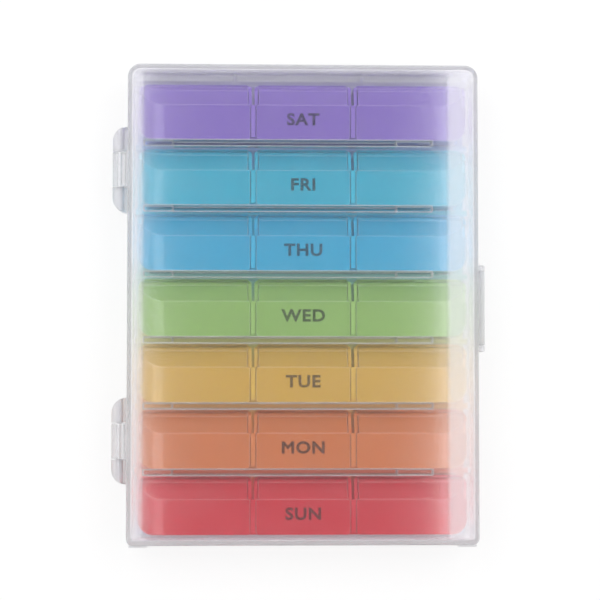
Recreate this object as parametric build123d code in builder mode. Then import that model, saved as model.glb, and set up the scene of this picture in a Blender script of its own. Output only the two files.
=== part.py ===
from build123d import *
import os

# Weekly pill box: a hinged frosted case that holds seven day boxes, each with three hinged lids.
# Millimetres. X runs across the case, Y along it from Sunday to Saturday, Z up from its back.
# The origin is the middle of the back face.

# Day boxes
days = ["sunday", "monday", "tuesday", "wednesday", "thursday", "friday", "saturday"]
compartments = ["left", "middle", "right"]
box_length = 107.0
box_width = 19.0
box_height = 23.25
box_wall = 1.1
box_floor = 1.3
box_front_corner = 5.0
box_back_corner = 3.2
pocket_corner = 1.0
divider_place = 16.25
notch_width = 0.9
notch_corner = 1.4
web_thickness = 1.2
ear_flat = 0.6
ridge_width = 1.5
ridge_set_back = 0.8

# Lids
lid_thickness = 1.4
lid_seat_gap = 0.25
lid_side_gap = 0.2
lid_corner = 0.8
lid_end_run = 8.5
lid_end_radius = 12.0
crease_offset = 1.9
lid_hinge_inset = 2.3
lid_hinge_drop = 5.4
barrel_radius = 1.45
barrel_clearance = 0.3
stub_radius = 0.7
stub_sides = 8
stub_clearance = 0.05
stub_end_gap = 0.2

# Case
case_wall = 1.6
case_floor = 1.6
cover_plate = 1.5
lid_headroom = 1.6
box_rest_gap = 0.05
box_end_gap = 1.9
bay_gap = 0.27
bay_wall = 1.8
foot_room = 0.63
head_room = 2.79
parting_height = 14.0
seam_gap = 0.2
bay_wall_drop = 1.0
brace_shares = [-0.4, 0.36]
brace_width = 0.9
head_corner = 4.2
foot_corner = 2.4
inner_corner_least = 0.4
case_edge = 2.0
rib_left_margin = 5.3
rib_right_margin = 15.1
rib_left_step = 9.3
rib_right_step = 11.4
rib_end_depth = 3.0
rib_depth = 7.0
pad_width = 6.0
pad_depth = 7.0
pad_height = 0.6
pad_corner = 1.5
pad_inset = 0.6

# Case hinges
hinge_margin = 19.3
hinge_length = 28.2
hinge_reach = 5.5
hinge_corner = 5.0
knuckle_radius = 2.6
knuckle_end = 8.0
knuckle_gap = 0.3
knuckle_web = 6.5
pin_radius = 1.0
pin_clearance = 0.05
pin_set_back = 2.0

# Latch
latch_offset = -1.15
latch_length = 28.3
latch_reach = 2.7
latch_thickness = 1.2
latch_pivot_height = 6.5
latch_drop = 6.0
latch_corner = 2.6
latch_barrel_radius = 1.1
latch_ear = 2.0
latch_ear_gap = 0.25
latch_shoulder_gap = 0.3
latch_lip_height = 1.4
latch_stub_radius = 0.6
latch_stub_clearance = 0.05
latch_stub_end_gap = 0.4
keeper_reach = 0.9
keeper_height = 1.8
keeper_drop = 4.9
keeper_set_back = 4.0
keeper_gap = 0.3

overrun = 1.0

# Sizes and places worked out from the ones above
row_count = len(days)
row_pitch = box_width + 2 * bay_gap + bay_wall
inner_width = box_length + 2 * box_end_gap
inner_length = row_count * row_pitch + foot_room + head_room
case_width = inner_width + 2 * case_wall
case_length = inner_length + 2 * case_wall
side_face = case_width / 2
foot_face = case_length / 2
box_seat = case_floor + box_rest_gap
lid_top = box_seat + box_height
lid_underside = lid_top - lid_thickness
rim_top = lid_underside - lid_seat_gap
cover_inside = lid_top + lid_headroom
case_depth = cover_inside + cover_plate
cover_rim = parting_height + seam_gap
bay_wall_top = parting_height - bay_wall_drop
first_row = foot_room + row_pitch / 2 - inner_length / 2
row_places = [first_row + row * row_pitch for row in range(row_count)]
bay_wall_places = [row + row_pitch / 2 for row in row_places]
rib_places = bay_wall_places[:-1]
brace_length = head_room + bay_wall / 2
brace_middle = bay_wall_places[-1] + brace_length / 2
brace_places = [(share * inner_width / 2, brace_middle) for share in brace_shares]
rib_left = rib_left_margin - side_face
rib_right = side_face - rib_right_margin

box_end = box_length / 2
box_back = box_width / 2
lid_hinge_y = box_back - lid_hinge_inset
lid_hinge_z = lid_top - lid_hinge_drop
back_rim = lid_hinge_z - barrel_radius - barrel_clearance
lobe_spans = [
    (-box_end, -divider_place - notch_width / 2),
    (notch_width / 2 - divider_place, divider_place - notch_width / 2),
    (divider_place + notch_width / 2, box_end),
]
flat_half_gap = ridge_width / 2 + lid_side_gap
flat_spans = [
    (-box_end, -divider_place - flat_half_gap),
    (flat_half_gap - divider_place, divider_place - flat_half_gap),
    (divider_place + flat_half_gap, box_end),
]

hinge_x = knuckle_radius - hinge_reach - side_face
hinge_z = parting_height + seam_gap / 2
hinge_half = hinge_length / 2
hinge_y_place = foot_face - hinge_margin - hinge_half
hinge_places = [hinge_y_place, -hinge_y_place]
cover_knuckle_half = hinge_half - knuckle_end - knuckle_gap

latch_x = side_face + latch_reach - latch_barrel_radius
latch_z = cover_rim + latch_pivot_height
latch_inside = side_face + latch_reach - latch_thickness
latch_half = latch_length / 2
latch_barrel_half = latch_half - latch_ear - latch_ear_gap
latch_shoulder = latch_z - latch_barrel_radius - latch_shoulder_gap
latch_foot = parting_height - latch_drop
lip_inside = side_face + keeper_reach + keeper_gap


def cross_plane(y):
    """Plane square to the case's length at y; a sketch on it has X and Z, and extrudes towards -Y."""
    return Plane.XZ.offset(-y)


def case_plan(inset):
    """Outline of the case seen from the front, drawn in from its outer face."""
    with BuildSketch() as plan:
        Rectangle(case_width - 2 * inset, case_length - 2 * inset)
        fillet(plan.vertices().group_by(Axis.Y)[-1], max(head_corner - inset, inner_corner_least))
        fillet(plan.vertices().group_by(Axis.Y)[0], max(foot_corner - inset, inner_corner_least))
    return plan.sketch


def hinge_knuckles(spans, web_side):
    """One half's knuckles on both hinges; web_side is 1 on the cover and -1 on the base."""
    seam = hinge_z + web_side * seam_gap / 2
    web_end = hinge_z + web_side * knuckle_web
    with BuildPart() as knuckles:
        for hinge_y in hinge_places:
            for low, high in spans:
                with BuildSketch(cross_plane(hinge_y + high)):
                    with Locations((hinge_x, hinge_z)):
                        Circle(knuckle_radius)
                    with BuildLine():
                        Polyline(
                            (hinge_x, seam),
                            (case_wall - side_face, seam),
                            (case_wall - side_face, web_end),
                            (-side_face, web_end),
                            (hinge_x, hinge_z + web_side * knuckle_radius),
                            close=True,
                        )
                    make_face()
                extrude(amount=high - low)
        with BuildSketch():
            with Locations(*[(-side_face, hinge_y) for hinge_y in hinge_places]):
                RectangleRounded(2 * hinge_reach, hinge_length, hinge_corner)
        extrude(amount=case_depth, mode=Mode.INTERSECT)
    return knuckles.part


def round_ended(top):
    """Cross-section of the space below top, with its two ends rounded down as the lids' ends are."""
    half = box_end - lid_end_run + lid_end_radius
    with BuildSketch() as section:
        with Locations((0, (box_seat + top) / 2)):
            Rectangle(2 * half, top - box_seat)
        fillet(section.vertices().group_by(Axis.Y)[-1], lid_end_radius)
    return section.sketch


def save(piece, name):
    """Label a finished piece and write it to its own file."""
    piece.part.label = name
    export_step(piece.part, f"parts/{name}.step")


outer_plan = case_plan(0)
inner_plan = case_plan(case_wall)
base_knuckles = hinge_knuckles(
    [(-hinge_half, knuckle_end - hinge_half), (hinge_half - knuckle_end, hinge_half)], -1
)
cover_knuckles = hinge_knuckles([(-cover_knuckle_half, cover_knuckle_half)], 1)

# Case base: the back half, with braced bay walls, hinge knuckles, keeper bead and foot pads
with BuildPart() as case_base:
    with BuildSketch():
        add(outer_plan)
    extrude(amount=parting_height)
    fillet(case_base.faces().sort_by(Axis.Z)[0].edges(), case_edge)
    with BuildSketch(Plane.XY.offset(case_floor)):
        add(inner_plan)
    extrude(amount=parting_height, mode=Mode.SUBTRACT)
    with BuildSketch(Plane.XY.offset(case_floor)):
        with Locations(*[(0, place) for place in bay_wall_places]):
            Rectangle(inner_width, bay_wall)
        with Locations(*brace_places):
            Rectangle(brace_width, brace_length)
    extrude(amount=bay_wall_top - case_floor)
    add(base_knuckles)
    with BuildSketch(cross_plane(0)):
        with Locations((hinge_x, hinge_z)):
            Circle(pin_radius + pin_clearance)
    extrude(amount=case_length, both=True, mode=Mode.SUBTRACT)
    with BuildSketch(cross_plane(-foot_face)) as base_pads:
        pad_x = side_face - pad_inset - pad_width / 2
        with Locations((-pad_x, parting_height / 2), (pad_x, parting_height / 2)):
            Rectangle(pad_width, pad_depth)
        chamfer(base_pads.vertices(), pad_corner)
    extrude(amount=pad_height)
    with BuildSketch(cross_plane(latch_offset + latch_half - keeper_set_back)):
        with Locations((side_face, parting_height - keeper_drop)):
            Ellipse(keeper_reach, keeper_height / 2)
    extrude(amount=latch_length - 2 * keeper_set_back)

# Case cover: the front half, with stepped ribs between the day boxes and ears for the latch
with BuildPart() as case_cover:
    with BuildSketch(Plane.XY.offset(cover_rim)):
        add(outer_plan)
    extrude(amount=case_depth - cover_rim)
    fillet(case_cover.faces().sort_by(Axis.Z)[-1].edges(), case_edge)
    with BuildSketch(Plane.XY.offset(cover_inside)):
        add(inner_plan)
    extrude(amount=-case_depth, mode=Mode.SUBTRACT)
    with BuildSketch(Plane.XY.offset(cover_inside)):
        with Locations(*[((rib_left + rib_right) / 2, place) for place in rib_places]):
            Rectangle(rib_right - rib_left, bay_wall)
    extrude(amount=-rib_end_depth)
    with BuildSketch(Plane.XY.offset(cover_inside)):
        deep_left = rib_left + rib_left_step
        deep_right = rib_right - rib_right_step
        with Locations(*[((deep_left + deep_right) / 2, place) for place in rib_places]):
            Rectangle(deep_right - deep_left, bay_wall)
    extrude(amount=-rib_depth)
    add(cover_knuckles)
    with BuildSketch(cross_plane(0)):
        with Locations((hinge_x, hinge_z)):
            Circle(pin_radius + pin_clearance)
    extrude(amount=case_length, both=True, mode=Mode.SUBTRACT)
    with BuildSketch(cross_plane(-foot_face)) as cover_pads:
        pad_z = (cover_rim + case_depth) / 2
        with Locations((-pad_x, pad_z), (pad_x, pad_z)):
            Rectangle(pad_width, pad_depth)
        chamfer(cover_pads.vertices(), pad_corner)
    extrude(amount=pad_height)
    for ear_high in (latch_offset + latch_half, latch_offset - latch_half + latch_ear):
        with BuildSketch(cross_plane(ear_high)):
            with Locations((latch_x, latch_z)):
                Circle(latch_barrel_radius)
            with Locations(((side_face - case_wall + latch_x) / 2, latch_z)):
                Rectangle(latch_x - side_face + case_wall, 2 * latch_barrel_radius)
            with Locations((latch_x, latch_z)):
                Circle(latch_stub_radius + latch_stub_clearance, mode=Mode.SUBTRACT)
        extrude(amount=latch_ear)

# Hinge pins, one through the knuckles of each hinge
hinge_pins = []
for hinge_y in hinge_places:
    with BuildPart() as hinge_pin:
        with BuildSketch(cross_plane(hinge_y + hinge_half - pin_set_back)):
            with Locations((hinge_x, hinge_z)):
                Circle(pin_radius)
        extrude(amount=hinge_length - 2 * pin_set_back)
    hinge_pins.append(hinge_pin)

# Latch: a flap on the cover that swings outwards and hangs over the keeper bead
with BuildPart() as cover_latch:
    with BuildSketch(Plane.YZ.offset(latch_inside)) as flap:
        with Locations((latch_offset, (latch_foot + latch_shoulder) / 2)):
            Rectangle(latch_length, latch_shoulder - latch_foot)
        fillet(flap.vertices().group_by(Axis.Y)[0], latch_corner)
        with Locations((latch_offset, (latch_foot + latch_z) / 2)):
            Rectangle(2 * latch_barrel_half, latch_z - latch_foot)
    extrude(amount=latch_thickness)
    with BuildSketch(Plane.YZ.offset(lip_inside)):
        with Locations((latch_offset, latch_foot + latch_lip_height / 2)):
            Rectangle(latch_length - 2 * latch_corner, latch_lip_height)
    extrude(amount=latch_inside - lip_inside)
    with BuildSketch(cross_plane(latch_offset + latch_barrel_half)):
        with Locations((latch_x, latch_z)):
            Circle(latch_barrel_radius)
    extrude(amount=2 * latch_barrel_half)
    stub_half = latch_half - latch_stub_end_gap
    with BuildSketch(cross_plane(latch_offset + stub_half)):
        with Locations((latch_x, latch_z)):
            RegularPolygon(latch_stub_radius, stub_sides)
    extrude(amount=2 * stub_half)

# Day box: three cups with a notch between them at the hinge side and a cored double wall in front of it
with BuildPart() as day_box:
    notch_middle = (crease_offset + box_back) / 2
    with BuildSketch(Plane.XY.offset(box_seat)) as box_plan:
        Rectangle(box_length, box_width)
        with Locations((-divider_place, notch_middle), (divider_place, notch_middle)):
            Rectangle(notch_width, box_back - crease_offset, mode=Mode.SUBTRACT)
        fillet(box_plan.vertices().group_by(Axis.Y)[0], box_front_corner)
        chamfer(box_plan.vertices().group_by(Axis.Y)[-1].sort_by(Axis.X)[1:-1], notch_corner)
        back_corners = box_plan.vertices().group_by(Axis.Y)[-1].sort_by(Axis.X)
        fillet([back_corners[0], back_corners[-1]], box_back_corner)
    extrude(amount=rim_top - box_seat)
    with BuildSketch(Plane.XY.offset(box_seat + box_floor)) as pockets:
        for left, right in lobe_spans:
            with Locations(((left + right) / 2, 0)):
                Rectangle(right - left - 2 * box_wall, box_width - 2 * box_wall)
        chamfer(pockets.vertices().group_by(Axis.Y)[0].sort_by(Axis.X)[1:-1], pocket_corner)
        chamfer(pockets.vertices().group_by(Axis.Y)[-1].sort_by(Axis.X)[1:-1], pocket_corner)
        front_corners = pockets.vertices().group_by(Axis.Y)[0].sort_by(Axis.X)
        fillet([front_corners[0], front_corners[-1]], box_front_corner - box_wall)
        back_corners = pockets.vertices().group_by(Axis.Y)[-1].sort_by(Axis.X)
        fillet([back_corners[0], back_corners[-1]], box_back_corner - box_wall)
    extrude(amount=box_height, mode=Mode.SUBTRACT)
    core_front = box_wall - box_back
    with BuildSketch(Plane.XY.offset(box_seat)):
        core_middle = (core_front + crease_offset) / 2
        with Locations((-divider_place, core_middle), (divider_place, core_middle)):
            Rectangle(notch_width, crease_offset - core_front)
    extrude(amount=rim_top - web_thickness - box_seat, mode=Mode.SUBTRACT)
    with BuildSketch(Plane.YZ):
        with BuildLine():
            Polyline(
                (lid_hinge_y + ear_flat, lid_hinge_z + barrel_radius),
                (lid_hinge_y, lid_hinge_z + barrel_radius),
                (crease_offset, rim_top),
                (crease_offset, rim_top + overrun),
                (box_back + overrun, rim_top + overrun),
                (box_back + overrun, back_rim),
                (lid_hinge_y + barrel_radius, back_rim),
                (lid_hinge_y + barrel_radius, lid_hinge_z + ear_flat),
                close=True,
            )
        make_face()
    extrude(amount=box_length, both=True, mode=Mode.SUBTRACT)
    with BuildSketch(cross_plane(lid_hinge_y - barrel_radius)):
        with Locations((0, lid_top)):
            Rectangle(box_length + 2 * overrun, box_height)
        add(round_ended(rim_top), mode=Mode.SUBTRACT)
    extrude(amount=box_width + overrun, mode=Mode.SUBTRACT)
    with BuildSketch(Plane.XY.offset(back_rim)):
        for left, right in lobe_spans:
            with Locations(((left + right) / 2, (crease_offset + box_back + overrun) / 2)):
                Rectangle(right - left - 2 * box_wall, box_back + overrun - crease_offset)
    extrude(amount=box_height, mode=Mode.SUBTRACT)
    ridge_front = ridge_set_back - box_back
    with BuildSketch(Plane.XY.offset(rim_top)):
        ridge_middle = (ridge_front + crease_offset) / 2
        with Locations((-divider_place, ridge_middle), (divider_place, ridge_middle)):
            Rectangle(ridge_width, crease_offset - ridge_front)
    extrude(amount=lid_top - rim_top)
    with BuildSketch(Plane.YZ):
        with Locations((lid_hinge_y, lid_hinge_z)):
            RegularPolygon(stub_radius + stub_clearance, stub_sides, major_radius=False)
    extrude(amount=box_length, both=True, mode=Mode.SUBTRACT)

# Space under the lids' top face: rounded down at the box's two ends and sloped down to the hinge line
with BuildPart() as lid_form:
    with BuildSketch(cross_plane(lid_hinge_y)):
        add(round_ended(lid_top))
    extrude(amount=lid_hinge_y + box_back + overrun)
    with BuildSketch(Plane.YZ):
        with BuildLine():
            Polyline(
                (crease_offset, lid_top),
                (lid_hinge_y, lid_top),
                (lid_hinge_y, lid_hinge_z + barrel_radius),
                close=True,
            )
        make_face()
    extrude(amount=box_length, both=True, mode=Mode.SUBTRACT)


def make_lid(lobe_span, flat_span):
    """A lid for one cup: a flat plate up to the crease, then a slope down to its hinge barrel."""
    flat_left, flat_right = flat_span
    slope_left = lobe_span[0] + box_wall + lid_side_gap
    slope_right = lobe_span[1] - box_wall - lid_side_gap
    stub_left = lobe_span[0] + stub_end_gap
    stub_right = lobe_span[1] - stub_end_gap
    end_zone = box_end - lid_corner
    with BuildPart() as lid:
        with BuildSketch(Plane.XY.offset(box_seat)) as plan:
            with Locations(((flat_left + flat_right) / 2, (crease_offset - box_back) / 2)):
                Rectangle(flat_right - flat_left, crease_offset + box_back)
            front_corners = plan.vertices().group_by(Axis.Y)[0]
            chamfer([corner for corner in front_corners if abs(corner.X) < end_zone], lid_corner)
            front_corners = plan.vertices().group_by(Axis.Y)[0]
            outer_corners = [corner for corner in front_corners if abs(corner.X) > end_zone]
            if outer_corners:
                fillet(outer_corners, box_front_corner)
            with Locations(((slope_left + slope_right) / 2, lid_hinge_y / 2)):
                Rectangle(slope_right - slope_left, lid_hinge_y)
        extrude(amount=box_height)
        add(lid_form.part, mode=Mode.INTERSECT)
        with Locations((0, 0, -lid_thickness)):
            add(lid_form.part, mode=Mode.SUBTRACT)
        with BuildSketch(Plane.YZ.offset(slope_left)):
            with Locations((lid_hinge_y, lid_hinge_z)):
                Circle(barrel_radius)
        extrude(amount=slope_right - slope_left)
        with BuildSketch(Plane.YZ.offset(stub_left)):
            with Locations((lid_hinge_y, lid_hinge_z)):
                RegularPolygon(stub_radius, stub_sides)
        extrude(amount=stub_right - stub_left)
    return lid.part


lids = [make_lid(lobe, flat) for lobe, flat in zip(lobe_spans, flat_spans)]

os.makedirs("parts", exist_ok=True)
save(case_base, "case_base")
save(case_cover, "case_cover")
save(hinge_pins[0], "upper_hinge_pin")
save(hinge_pins[1], "lower_hinge_pin")
save(cover_latch, "cover_latch")
for day, row in zip(days, row_places):
    with BuildPart() as placed_box:
        with Locations((0, row, 0)):
            add(day_box.part)
    save(placed_box, f"{day}_box")
    for compartment, lid in zip(compartments, lids):
        with BuildPart() as placed_lid:
            with Locations((0, row, 0)):
                add(lid)
        save(placed_lid, f"{day}_{compartment}_lid")
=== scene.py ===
"""Weekly pill box: each piece's finish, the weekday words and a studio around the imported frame."""

import bpy
from mathutils import Matrix, Vector


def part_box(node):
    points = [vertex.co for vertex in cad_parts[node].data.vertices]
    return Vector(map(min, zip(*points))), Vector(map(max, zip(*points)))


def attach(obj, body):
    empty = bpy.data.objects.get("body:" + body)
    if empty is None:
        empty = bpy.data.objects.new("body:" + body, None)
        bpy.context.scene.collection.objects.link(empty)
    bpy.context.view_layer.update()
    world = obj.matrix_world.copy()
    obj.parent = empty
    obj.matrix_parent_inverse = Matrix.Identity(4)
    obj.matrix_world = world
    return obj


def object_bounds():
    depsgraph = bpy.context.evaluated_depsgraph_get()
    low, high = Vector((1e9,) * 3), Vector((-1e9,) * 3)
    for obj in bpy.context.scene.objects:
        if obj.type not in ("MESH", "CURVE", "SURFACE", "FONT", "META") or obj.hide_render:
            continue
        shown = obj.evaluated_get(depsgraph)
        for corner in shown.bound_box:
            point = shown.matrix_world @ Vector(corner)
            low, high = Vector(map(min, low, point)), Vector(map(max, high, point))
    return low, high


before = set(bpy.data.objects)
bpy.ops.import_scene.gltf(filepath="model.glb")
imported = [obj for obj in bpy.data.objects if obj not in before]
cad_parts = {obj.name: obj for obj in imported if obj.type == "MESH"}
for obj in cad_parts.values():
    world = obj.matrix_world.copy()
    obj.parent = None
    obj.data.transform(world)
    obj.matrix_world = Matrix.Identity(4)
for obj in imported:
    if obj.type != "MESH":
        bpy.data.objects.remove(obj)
CAD_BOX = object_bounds()

bl_info = {
    "name": "Weekly pill box",
    "version": (1, 0, 0),
    "blender": (4, 5, 0),
    "location": "3D View > Sidebar > Pill box",
    "description": "Finishes a frosted case, its seven day boxes, their words and a studio",
    "category": "Object",
}

MM = 0.001
WHITE = (1.0, 1.0, 1.0)
DAYS = ("sunday", "monday", "tuesday", "wednesday", "thursday", "friday", "saturday")
SIDES = ("left", "middle", "right")

# Moulded plastic: softened edges, grain, the coat that clouds and specks vary, and the roughness of
# the whiter layer that carries painted highlights on edges and painted light on borders
BEVEL_SAMPLES = 4
GRAIN_DEPTH_SHARE = 0.03
GRAIN_STRENGTH = 0.15
COAT_LEAST = 0.8
COAT_BY_CLOUDS = 0.15
COAT_BY_SPECKS = 0.1
PAINTED_LIGHT_ROUGHNESS = 0.45

# Printed ink: the size and depth of its unevenness, and how far that changes its look
INK_GRAIN = 0.6 * MM
INK_DEPTH = 0.01 * MM
INK_STRENGTH = 0.2
INK_DARKEST = 0.8
INK_PALEST = 1.25
INK_ROUGHNESS_LEAST = 0.42
INK_ROUGHNESS_SPREAD = 0.16
INK_COVER_LEAST = 0.9
INK_COVER_SPREAD = 0.2

# Studio: the floor's faint patches, the height at which the room darkens, light paths and lens
FLOOR_PATCH = 0.4
FLOOR_DARKEST = 0.99
FLOOR_ROUGHNESS = 0.75
CEILING_START = 0.45
CEILING_END = 0.85
INDIRECT_CLAMP = 3.0
LIGHT_BOUNCES = 32
SENSOR_WIDTH_MM = 36.0
NEAREST_SEEN = 0.01


def colour_setting(name, description, default):
    """A colour that the sidebar shows as a swatch."""
    return bpy.props.FloatVectorProperty(
        name=name, description=description, subtype="COLOR", size=3, min=0.0, max=1.0,
        default=default,
    )


def length_setting(name, description, default):
    """A length in metres."""
    return bpy.props.FloatProperty(
        name=name, description=description, subtype="DISTANCE", unit="LENGTH", precision=5,
        default=default,
    )


def share_setting(name, description, default):
    """A share from 0 to 1."""
    return bpy.props.FloatProperty(
        name=name, description=description, subtype="FACTOR", min=0.0, max=1.0, default=default
    )


def number_setting(name, description, default):
    """A plain number."""
    return bpy.props.FloatProperty(name=name, description=description, default=default)


def border_setting(name, description, default):
    """A border as the least X, the most X and the most Y either way, its default in millimetres."""
    return bpy.props.FloatVectorProperty(
        name=name, description=description, unit="LENGTH", size=3,
        default=[part * MM for part in default],
    )


class PillPlasticSettings(bpy.types.PropertyGroup):
    """How one kind of see-through plastic looks."""

    clearness: share_setting("Clearness", "Share of light that passes a face", 0.9)
    blur: share_setting("Blur", "How far the plastic blurs what is behind it", 0.3)
    gloss: share_setting("Gloss", "Roughness of the skin", 0.1)
    refraction: number_setting("Refraction", "Index of refraction of the thin walls", 1.15)
    skin: number_setting("Skin", "Index of refraction of the glossy skin", 1.5)
    edge: length_setting("Edge", "Softening of moulded edges", 0.18 * MM)
    # Painted highlight: how white the edges are painted, in place of the light that moulded edges
    # catch
    painted_edge_highlight: share_setting("Edge white", "How white the edges are", 0.5)
    edge_gain: number_setting("Edge gain", "How soon a bend counts as an edge", 12.0)
    # Painted light: how white the zone beyond the border is painted, in place of light reflected and
    # scattered there
    painted_border_light: share_setting("Border white", "How white the border is", 0.0)
    border_fade: length_setting("Border fade", "Width over which the border starts", 0.6 * MM)
    # Painted light: how far the inside is painted with the boxes' colours, in place of the coloured
    # light from the boxes
    painted_box_light: share_setting("Bleed", "How far the inside takes on the colours of the boxes", 1.0)


class PillCaseSettings(bpy.types.PropertyGroup):
    """Frosted case, cover, latch and hinge pins."""

    base_deep: colour_setting("Base", "Colour of the base", (0.66, 0.635, 0.88))
    base_pale: colour_setting("Base patches", "Colour of the base's patches", (0.75, 0.725, 0.94))
    base_patch: length_setting("Base patch size", "Size of the base's cloudy patches", 16.0 * MM)
    cover_deep: colour_setting("Cover", "Colour of the cover", (0.975, 0.975, 0.985))
    cover_pale: colour_setting(
        "Cover patches", "Colour of the cover's patches", (0.99, 0.99, 0.995)
    )
    cover_patch: length_setting("Cover patch size", "Size of the cover's cloudy patches", 22.0 * MM)
    # White is the colour of the painted highlights on edges and of the painted light beyond the
    # border
    white: colour_setting("White", "Colour of its edges and border", (0.95, 0.95, 0.97))
    grain: length_setting("Grain", "Size of the frosting's grain", 0.35 * MM)
    # Beyond the base's border its outer walls get a pale tint and a share of the whiter layer:
    # painted light in place of the light scattered in them
    base_border: border_setting(
        "Base border", "Where the base's outer walls start", (-54.8, 54.8, 75.8)
    )
    # The cover's border zone is painted light: a whiter zone at the ends in place of the light
    # reflected there
    cover_border: border_setting(
        "Cover border", "Where the cover's frosted border starts", (-51.2, 46.3, 74.6)
    )
    base: bpy.props.PointerProperty(type=PillPlasticSettings)
    cover: bpy.props.PointerProperty(type=PillPlasticSettings)


class PillDaySettings(bpy.types.PropertyGroup):
    """Day boxes and their lids."""

    sunday: colour_setting("Sunday", "Colour of the Sunday box", (1.000, 0.021, 0.062))
    monday: colour_setting("Monday", "Colour of the Monday box", (1.000, 0.302, 0.077))
    tuesday: colour_setting("Tuesday", "Colour of the Tuesday box", (1.000, 0.636, 0.090))
    wednesday: colour_setting("Wednesday", "Colour of the Wednesday box", (0.450, 0.768, 0.200))
    thursday: colour_setting("Thursday", "Colour of the Thursday box", (0.020, 0.629, 1.000))
    friday: colour_setting("Friday", "Colour of the Friday box", (0.020, 0.668, 0.927))
    saturday: colour_setting("Saturday", "Colour of the Saturday box", (0.374, 0.229, 0.843))
    flow: length_setting("Flow marks", "Size of the cloudy flow marks", 11.0 * MM)
    flow_white: share_setting("Flow white", "How much paler the flow marks are", 0.08)
    # Painted highlights: how much paler a box's and a lid's edges are painted, in place of the light
    # caught along them
    box_painted_highlight: share_setting("Box rim white", "How much paler a box's edges are", 0.4)
    lid_painted_highlight: share_setting("Lid rim white", "How much paler a lid's edges are", 0.55)
    grain: length_setting("Grain", "Size of the moulded grain", 0.5 * MM)
    box: bpy.props.PointerProperty(type=PillPlasticSettings)
    lid: bpy.props.PointerProperty(type=PillPlasticSettings)


class PillWordSettings(bpy.types.PropertyGroup):
    """Weekday words printed on the middle lids."""

    height: length_setting("Letter height", "Height of a capital letter", 4.1 * MM)
    weight: number_setting("Weight", "Thickening of the strokes over the letters' size", 0.032)
    spacing: number_setting("Spacing", "Space between the letters", 1.1)
    stretch: number_setting("Stretch", "Width of the letters over their drawn width", 1.08)
    film: length_setting("Film", "Thickness of the printed film", 0.08 * MM)
    gap: length_setting("Gap", "Gap between the film and the lid's face", 0.01 * MM)
    ink: colour_setting("Ink", "Colour of the print", (0.012, 0.012, 0.018))
    density: share_setting("Density", "How well the ink covers", 0.33)
    crease: length_setting("Crease", "Place of the lid's crease above the row's middle", 1.9 * MM)
    lift: length_setting("Lift", "Place of the words above the middle of the lid's flat", 1.1 * MM)


class PillStageSettings(bpy.types.PropertyGroup):
    """Floor, lights and camera."""

    floor_colour: colour_setting("Floor", "Colour of the floor", (0.92, 0.92, 0.92))
    floor_size: length_setting("Floor size", "Side of the floor", 3.0)
    shadow: share_setting("Shadow", "Share of the floor's shading that the camera sees", 0.18)
    behind: share_setting("Behind", "Share of the floor's white seen through the case", 0.42)
    ambient: number_setting("Ambient", "Strength of the world's light", 0.62)
    ceiling: share_setting("Ceiling", "Brightness of the ceiling in reflections", 0.15)
    softbox_power: bpy.props.FloatProperty(
        name="Softboxes", description="Power of each softbox", unit="POWER", default=2.5
    )
    softbox_width: length_setting("Softbox width", "Width of a softbox, across the case", 0.45)
    softbox_length: length_setting("Softbox length", "Length of a softbox, along the case", 0.60)
    softbox_height: length_setting("Softbox height", "Height of the softboxes over the floor", 0.66)
    softbox_shift: length_setting("Softbox shift", "Place of the softboxes along the case", 0.16)
    left_edge: length_setting(
        "Left softbox edge", "Distance of the left softbox from the middle", 0.080
    )
    right_edge: length_setting(
        "Right softbox edge", "Distance of the right softbox from the middle", 0.115
    )
    eye: bpy.props.FloatVectorProperty(
        name="Camera", description="Place of the camera", subtype="TRANSLATION", unit="LENGTH",
        size=3, default=(-0.024, -0.030, 0.640),
    )
    aim: bpy.props.FloatVectorProperty(
        name="Aim", description="Point in the middle of the picture", subtype="TRANSLATION",
        unit="LENGTH", size=3, default=(-0.0010, 0.0013, 0.0240),
    )
    view_width: length_setting("View width", "Width that the picture shows at the aim", 0.195)


class Field:
    """A number that varies over a surface; expressions on it add Math nodes."""

    def __init__(self, finish, socket):
        self.finish = finish
        self.socket = socket

    def combined(self, operation, first, second):
        node = self.finish.node("ShaderNodeMath", {"operation": operation}, {0: first, 1: second})
        return Field(self.finish, node.outputs[0])

    def __add__(self, other):
        return self.combined("ADD", self, other)

    def __radd__(self, other):
        return self.combined("ADD", other, self)

    def __rsub__(self, other):
        return self.combined("SUBTRACT", other, self)

    def __mul__(self, other):
        return self.combined("MULTIPLY", self, other)

    def __rmul__(self, other):
        return self.combined("MULTIPLY", other, self)

    def __abs__(self):
        return self.combined("ABSOLUTE", self, 0.0)

    def larger(self, other):
        return self.combined("MAXIMUM", self, other)


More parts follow.
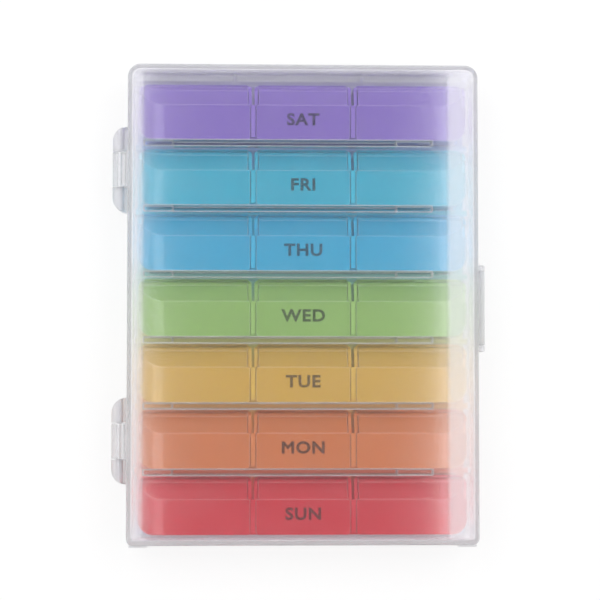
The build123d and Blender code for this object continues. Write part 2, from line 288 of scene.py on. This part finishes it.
class Finish:
    """A node tree with the few calls that the finishes below are written in."""

    def __init__(self, tree):
        self.tree = tree
        tree.nodes.clear()

    def node(self, kind, settings=None, sockets=None):
        """Add a node, set its settings, then set or link its sockets."""
        node = self.tree.nodes.new(kind)
        for name, value in (settings or {}).items():
            setattr(node, name, value)
        for key, value in (sockets or {}).items():
            if isinstance(value, Field):
                value = value.socket
            if isinstance(value, bpy.types.NodeSocket):
                self.tree.links.new(value, node.inputs[key])
            else:
                node.inputs[key].default_value = value
        return node

    def noise(self, size, detail=2.0, roughness=0.5):
        """Cloudy noise from 0 to 1 whose patches are about as large as size."""
        place = self.node("ShaderNodeTexCoord").outputs["Object"]
        sockets = {"Vector": place, "Scale": 1.0 / size, "Detail": detail, "Roughness": roughness}
        return Field(self, self.node("ShaderNodeTexNoise", None, sockets).outputs["Fac"])

    def blend(self, share, first, second):
        """A colour between first and second, each a colour or the socket of one."""
        node = self.node("ShaderNodeMix", {"data_type": "RGBA"})
        named = {socket.name: socket for socket in node.inputs if socket.enabled}
        self.tree.links.new(share.socket, named["Factor"])
        for name, value in (("A", first), ("B", second)):
            if isinstance(value, bpy.types.NodeSocket):
                self.tree.links.new(value, named[name])
            else:
                named[name].default_value = rgba(value)
        return next(socket for socket in node.outputs if socket.enabled)

    def bump(self, height, depth, strength, normal=None):
        """A normal that a height field from 0 to 1 raises by depth."""
        sockets = {"Strength": strength, "Distance": depth, "Height": height}
        if normal is not None:
            sockets["Normal"] = normal
        return self.node("ShaderNodeBump", None, sockets).outputs["Normal"]

    def edges(self, softened, gain):
        """One along edges, where the softened normal leaves the face's own, and zero on faces."""
        own = self.node("ShaderNodeNewGeometry").outputs["Normal"]
        dot = self.node("ShaderNodeVectorMath", {"operation": "DOT_PRODUCT"}, {0: own, 1: softened})
        bend = 1.0 - Field(self, dot.outputs["Value"])
        return Field(self, self.node("ShaderNodeClamp", None, {"Value": gain * bend}).outputs[0])

    def ramp(self, value, low, high):
        """Zero up to low, one from high on and straight between."""
        sockets = {"Value": value, "From Min": low, "From Max": high}
        return Field(self, self.node("ShaderNodeMapRange", None, sockets).outputs[0])

    def place(self):
        """The three Object coordinates."""
        vector = self.node("ShaderNodeTexCoord").outputs["Object"]
        parts = self.node("ShaderNodeSeparateXYZ", None, {"Vector": vector}).outputs
        return [Field(self, part) for part in parts]

    def beyond(self, border, fade):
        """One past a border, as border_setting gives it, and zero inside it."""
        x, y, _ = self.place()
        left, right, far = border
        past_x = self.ramp(x, left, left - fade).larger(self.ramp(x, right, right + fade))
        return past_x.larger(self.ramp(abs(y), far, far + fade))

    def colours_along(self, value, stops):
        """A colour that runs evenly through stops, which are pairs of a value and a colour."""
        low, high = stops[0][0], stops[-1][0]
        node = self.node("ShaderNodeValToRGB", None, {"Fac": self.ramp(value, low, high)})
        elements = node.color_ramp.elements
        for place, _ in stops[1:-1]:
            elements.new((place - low) / (high - low))
        for element, (_, colour) in zip(elements, stops):
            element.color = rgba(colour)
        return node.outputs["Color"]


def rgba(colour):
    """A colour with full alpha."""
    return (*tuple(colour)[:3], 1.0)


def new_finish(name):
    """An empty material and its finish."""
    material = bpy.data.materials.new(name)
    material.use_nodes = True
    return material, Finish(material.node_tree)


def moulded_plastic(name, pale, deep, painted_light_colour, patch, grain, look, border=None, painted_box_light=None):
    """Moulded see-through plastic: cloudy marks, uneven gloss, fine grain, painted highlights on the
    edges and painted light beyond the border.

    Inside the border, the boxes' colours given along Y replace the tint as painted coloured light
    from the boxes.
    """
    material, finish = new_finish(name)
    clouds = finish.noise(patch, detail=3.0, roughness=0.55)
    specks = finish.noise(grain, detail=2.0, roughness=0.6)
    bevel = finish.node("ShaderNodeBevel", {"samples": BEVEL_SAMPLES}, {"Radius": look.edge})
    softened = bevel.outputs["Normal"]
    normal = finish.bump(specks, grain * GRAIN_DEPTH_SHARE, GRAIN_STRENGTH, softened)
    tint = finish.blend(clouds, deep, pale)
    # Painted highlight: edges, found where the softened normal leaves the face's own, get a share of
    # the whiter layer
    painted_light_share = finish.edges(softened, look.edge_gain) * look.painted_edge_highlight
    # Beyond the border, painted light: the tint turns pale and a share of the whiter layer shows
    if border:
        outside = finish.beyond(border, look.border_fade)
        # Inside the border, the boxes' colours along Y are painted on as the coloured light they
        # throw
        if painted_box_light:
            inside = (1.0 - outside) * look.painted_box_light
            _, y, _ = finish.place()
            tint = finish.blend(inside, tint, finish.colours_along(y, painted_box_light))
        tint = finish.blend(outside, tint, painted_light_colour)
        painted_light_share = painted_light_share.larger(outside * look.painted_border_light)
    clear = finish.node(
        "ShaderNodeBsdfPrincipled",
        None,
        {
            "Base Color": tint,
            "Roughness": look.blur,
            "IOR": look.refraction,
            "Transmission Weight": look.clearness,
            "Coat Weight": COAT_LEAST + COAT_BY_CLOUDS * clouds + COAT_BY_SPECKS * specks,
            "Coat Roughness": look.gloss,
            "Coat IOR": look.skin,
            "Normal": normal,
        },
    )
    # The whiter, lamp-lit layer that carries the painted highlights on edges and the painted light
    # beyond the border
    painted_light_layer = finish.node(
        "ShaderNodeBsdfPrincipled",
        None,
        {"Base Color": rgba(painted_light_colour), "Roughness": PAINTED_LIGHT_ROUGHNESS, "Normal": normal},
    )
    surface = finish.node(
        "ShaderNodeMixShader", None, {"Fac": painted_light_share, 1: clear.outputs[0], 2: painted_light_layer.outputs[0]}
    )
    finish.node("ShaderNodeOutputMaterial", None, {"Surface": surface.outputs[0]})
    return material


def painted_box_light_along_rows(case, days):
    """Painted coloured light: the boxes' colours along the case, painted on the base's floor and
    walls beside them in place of the light the boxes throw there.
    """
    rows = []
    for day in DAYS:
        low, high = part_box(f"{day}_box")
        rows.append((0.5 * (low[1] + high[1]), Vector(getattr(days, day))))
    half_pitch = 0.5 * (rows[1][0] - rows[0][0])
    plain = Vector(case.base_deep)
    return [(rows[0][0] - half_pitch, plain), *rows, (rows[-1][0] + half_pitch, plain)]


def printed_ink(name, colour, cover):
    """Screen-printed ink: dark, slightly uneven, and thin enough to let some plastic through."""
    material, finish = new_finish(name)
    density = finish.noise(INK_GRAIN, detail=3.0)
    colour = Vector(colour)
    shader = finish.node(
        "ShaderNodeBsdfPrincipled",
        None,
        {
            "Base Color": finish.blend(density, colour * INK_DARKEST, colour * INK_PALEST),
            "Roughness": INK_ROUGHNESS_LEAST + INK_ROUGHNESS_SPREAD * density,
            "Alpha": cover * INK_COVER_LEAST + cover * INK_COVER_SPREAD * density,
            "Normal": finish.bump(density, INK_DEPTH, INK_STRENGTH),
        },
    )
    finish.node("ShaderNodeOutputMaterial", None, {"Surface": shader.outputs[0]})
    return material


def dress(node_name, material):
    """Give a piece of the frame its finish."""
    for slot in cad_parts[node_name].material_slots:
        slot.material = material


def settings():
    """The add-on's settings on this scene."""
    return bpy.context.scene.pill_box


class PILLBOX_OT_case(bpy.types.Operator):
    """Frost the case base, the cover, the latch and the hinge pins"""

    bl_idname = "pillbox.case"
    bl_label = "Finish the case"

    def execute(self, context):
        case = settings().case
        # The base is painted with the boxes' coloured light along its rows and with paler painted
        # light on its outer walls
        base = moulded_plastic(
            "frosted_base", case.base_pale, case.base_deep, case.white, case.base_patch,
            case.grain, case.base, tuple(case.base_border),
            painted_box_light_along_rows(case, settings().days),
        )
        cover = moulded_plastic(
            "frosted_cover", case.cover_pale, case.cover_deep, case.white, case.cover_patch,
            case.grain, case.cover, tuple(case.cover_border),
        )
        for node_name in ("case_base", "upper_hinge_pin", "lower_hinge_pin", "cover_latch"):
            dress(node_name, base)
        dress("case_cover", cover)
        return {"FINISHED"}


class PILLBOX_OT_day_boxes(bpy.types.Operator):
    """Colour the seven day boxes and their lids"""

    bl_idname = "pillbox.day_boxes"
    bl_label = "Finish the day boxes"

    def execute(self, context):
        days = settings().days
        white = Vector(WHITE)
        for day in DAYS:
            colour = Vector(getattr(days, day))
            pale = colour.lerp(white, days.flow_white)
            # Paler colours for the painted highlights on the edges of boxes and lids
            box_highlight_colour = colour.lerp(white, days.box_painted_highlight)
            lid_highlight_colour = colour.lerp(white, days.lid_painted_highlight)
            box = moulded_plastic(
                f"{day}_box_plastic", pale, colour, box_highlight_colour, days.flow, days.grain, days.box
            )
            lid = moulded_plastic(
                f"{day}_lid_plastic", pale, colour, lid_highlight_colour, days.flow, days.grain, days.lid
            )
            dress(f"{day}_box", box)
            for side in SIDES:
                dress(f"{day}_{side}_lid", lid)
        return {"FINISHED"}


class PILLBOX_OT_words(bpy.types.Operator):
    """Print the weekday on each middle lid"""

    bl_idname = "pillbox.words"
    bl_label = "Print the weekday words"

    def execute(self, context):
        words = settings().words
        ink = printed_ink("weekday_ink", words.ink, words.density)
        for day in DAYS:
            box_low, box_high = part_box(f"{day}_box")
            lid_low, lid_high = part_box(f"{day}_middle_lid")
            crease = (box_low[1] + box_high[1]) / 2 + words.crease
            middle = Vector((
                (lid_low[0] + lid_high[0]) / 2,
                (lid_low[1] + crease) / 2 + words.lift,
                lid_high[2],
            ))
            piece = self.printed_word(day[:3].upper(), f"{day}_word", words, middle)
            piece.data.materials.append(ink)
            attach(piece, f"{day}_middle_lid")
        return {"FINISHED"}

    def printed_word(self, text, name, words, middle):
        """A thin film of letters that lies on the lid with its middle at the given place."""
        curve = bpy.data.curves.new(name, "FONT")
        curve.body = text
        curve.align_x = "CENTER"
        curve.size = 1.0
        curve.space_character = words.spacing
        curve.bevel_depth = words.weight
        curve.bevel_resolution = 0
        curve.resolution_u = 4
        holder = bpy.data.objects.new(name + "_outline", curve)
        bpy.context.scene.collection.objects.link(holder)
        bpy.context.view_layer.update()
        solid = holder.evaluated_get(bpy.context.evaluated_depsgraph_get())
        mesh = bpy.data.meshes.new_from_object(solid)
        bpy.data.objects.remove(holder)
        bpy.data.curves.remove(curve)
        corners = [vertex.co for vertex in mesh.vertices]
        low = Vector([min(corner[axis] for corner in corners) for axis in range(3)])
        high = Vector([max(corner[axis] for corner in corners) for axis in range(3)])
        scale = words.height / (high.y - low.y)
        place = Matrix.Translation(middle + Vector((0.0, 0.0, words.gap)))
        size = Matrix.Diagonal((scale * words.stretch, scale, words.film / (high.z - low.z), 1.0))
        origin = Matrix.Translation((-(low.x + high.x) / 2, -(low.y + high.y) / 2, -low.z))
        mesh.transform(place @ size @ origin)
        mesh.name = name
        piece = bpy.data.objects.new(name, mesh)
        bpy.context.scene.collection.objects.link(piece)
        return piece


class PILLBOX_OT_stage(bpy.types.Operator):
    """Lay the floor, hang the lights and place the camera"""

    bl_idname = "pillbox.stage"
    bl_label = "Set the stage"

    def execute(self, context):
        stage = settings().stage
        self.floor(stage)
        self.world(stage)
        half = stage.softbox_width / 2
        self.softbox("left_softbox", stage, -stage.left_edge - half)
        self.softbox("right_softbox", stage, stage.right_edge + half)
        self.camera(stage)
        context.scene.view_settings.view_transform = "Standard"
        context.scene.cycles.sample_clamp_indirect = INDIRECT_CLAMP
        context.scene.cycles.max_bounces = LIGHT_BOUNCES
        context.scene.cycles.transmission_bounces = LIGHT_BOUNCES
        context.scene.cycles.transparent_max_bounces = LIGHT_BOUNCES
        return {"FINISHED"}

    def seen_by_eye(self, finish, behind):
        """One on camera and mirrored rays, behind on rays through plastic and zero on the rest."""
        rays = finish.node("ShaderNodeLightPath").outputs
        through = Field(finish, rays["Is Transmission Ray"])
        mirrored = Field(finish, rays["Is Glossy Ray"]) * (1.0 - through)
        seen = Field(finish, rays["Is Camera Ray"]) + mirrored + behind * through
        node = finish.node("ShaderNodeClamp", None, {"Value": seen})
        return Field(finish, node.outputs[0])

    def floor(self, stage):
        """A pale floor that shows white, apart from a share of the shadows on it."""
        low, _ = CAD_BOX
        material, finish = new_finish("studio_floor")
        grey = finish.noise(FLOOR_PATCH, detail=2.0)
        colour = Vector(stage.floor_colour)
        matt = finish.node(
            "ShaderNodeBsdfPrincipled",
            None,
            {
                "Base Color": finish.blend(grey, colour * FLOOR_DARKEST, colour),
                "Roughness": FLOOR_ROUGHNESS,
            },
        )
        glow = finish.node("ShaderNodeEmission", None, {"Color": rgba(WHITE), "Strength": 1.0})
        share = self.seen_by_eye(finish, stage.behind) * (1.0 - stage.shadow)
        mix = finish.node(
            "ShaderNodeMixShader", None, {"Fac": share, 1: matt.outputs[0], 2: glow.outputs[0]}
        )
        finish.node("ShaderNodeOutputMaterial", None, {"Surface": mix.outputs[0]})
        bpy.ops.mesh.primitive_plane_add(size=stage.floor_size, location=(0.0, 0.0, low[2]))
        floor = bpy.context.object
        floor.name = "studio_floor"
        floor.data.materials.append(material)

    def world(self, stage):
        """A white room with a dark ceiling, which lights the part only as strongly as ambient."""
        world = bpy.data.worlds.new("studio_world")
        world.use_nodes = True
        finish = Finish(world.node_tree)
        way = finish.node("ShaderNodeTexCoord").outputs["Generated"]
        parts = finish.node("ShaderNodeSeparateXYZ", None, {"Vector": way}).outputs
        sockets = {
            "Value": parts["Z"],
            "From Min": CEILING_START,
            "From Max": CEILING_END,
            "To Min": 1.0,
            "To Max": stage.ceiling,
        }
        room = finish.node("ShaderNodeMapRange", {"interpolation_type": "SMOOTHSTEP"}, sockets)
        seen = self.seen_by_eye(finish, 1.0)
        strength = (1.0 - seen) * stage.ambient + seen * Field(finish, room.outputs[0])
        sockets = {"Color": rgba(WHITE), "Strength": strength}
        sky = finish.node("ShaderNodeBackground", None, sockets)
        finish.node("ShaderNodeOutputWorld", None, {"Surface": sky.outputs[0]})
        bpy.context.scene.world = world

    def softbox(self, name, stage, place_x):
        """A lamp that hangs level over one side of the case, out of the camera's sight."""
        lamp = bpy.data.lights.new(name, "AREA")
        lamp.shape = "RECTANGLE"
        lamp.size = stage.softbox_width
        lamp.size_y = stage.softbox_length
        lamp.energy = stage.softbox_power
        holder = bpy.data.objects.new(name, lamp)
        holder.location = (place_x, stage.softbox_shift, stage.softbox_height)
        holder.visible_camera = False
        bpy.context.scene.collection.objects.link(holder)

    def camera(self, stage):
        """A camera at eye, whose picture is as wide as view_width at aim."""
        eye, aim = Vector(stage.eye), Vector(stage.aim)
        lens = bpy.data.cameras.new("photo_camera")
        lens.sensor_width = SENSOR_WIDTH_MM
        lens.lens = lens.sensor_width * (aim - eye).length / stage.view_width
        lens.clip_start = NEAREST_SEEN
        camera = bpy.data.objects.new("photo_camera", lens)
        camera.matrix_world = Matrix.Translation(eye) @ facing(aim - eye)
        bpy.context.scene.collection.objects.link(camera)
        bpy.context.scene.camera = camera


def facing(direction):
    """The turn that points -Z along direction and keeps the part's +Y upright in the picture."""
    back = -direction.normalized()
    right = Vector((0.0, 1.0, 0.0)).cross(back).normalized()
    up = back.cross(right)
    return Matrix((right, up, back)).transposed().to_4x4()


class PillBoxSettings(bpy.types.PropertyGroup):
    """All settings of the pill box."""

    case: bpy.props.PointerProperty(type=PillCaseSettings)
    days: bpy.props.PointerProperty(type=PillDaySettings)
    words: bpy.props.PointerProperty(type=PillWordSettings)
    stage: bpy.props.PointerProperty(type=PillStageSettings)


class PILLBOX_PT_panel(bpy.types.Panel):
    """Sidebar panel that lists the steps"""

    bl_label = "Weekly pill box"
    bl_idname = "PILLBOX_PT_panel"
    bl_space_type = "VIEW_3D"
    bl_region_type = "UI"
    bl_category = "Pill box"

    def draw(self, context):
        for operator in OPERATORS:
            self.layout.operator(operator.bl_idname)


OPERATORS = (PILLBOX_OT_case, PILLBOX_OT_day_boxes, PILLBOX_OT_words, PILLBOX_OT_stage)
CLASSES = (
    PillPlasticSettings,
    PillCaseSettings,
    PillDaySettings,
    PillWordSettings,
    PillStageSettings,
    PillBoxSettings,
    *OPERATORS,
    PILLBOX_PT_panel,
)


def register():
    for cls in CLASSES:
        bpy.utils.register_class(cls)
    bpy.types.Scene.pill_box = bpy.props.PointerProperty(type=PillBoxSettings)


def unregister():
    del bpy.types.Scene.pill_box
    for cls in reversed(CLASSES):
        bpy.utils.unregister_class(cls)


# Each plastic's values, among them the strength of its painted edge highlights and painted border
# light
LOOKS = {
    "case.base": {
        "clearness": 0.93, "blur": 0.42, "gloss": 0.30, "edge": 0.30 * MM, "painted_border_light": 0.1,
    },
    "case.cover": {
        "clearness": 0.98, "blur": 0.24, "gloss": 0.08, "skin": 1.7,
        "edge": 0.60 * MM, "painted_edge_highlight": 0.90, "edge_gain": 60.0,
        "painted_border_light": 0.22, "border_fade": 1.6 * MM,
    },
    "days.box": {"clearness": 0.15, "blur": 0.30, "refraction": 1.18, "painted_edge_highlight": 0.1},
    "days.lid": {
        "clearness": 0.32, "blur": 0.26, "refraction": 1.18, "edge": 0.32 * MM, "painted_edge_highlight": 0.6,
        "edge_gain": 70.0,
    },
}


def set_looks():
    """Give each kind of plastic its own values."""
    for path, values in LOOKS.items():
        look = settings().path_resolve(path)
        for name, value in values.items():
            setattr(look, name, value)


def main():
    register()
    set_looks()
    bpy.ops.pillbox.case()
    bpy.ops.pillbox.day_boxes()
    bpy.ops.pillbox.words()
    bpy.ops.pillbox.stage()


if __name__ == "__main__":
    main()
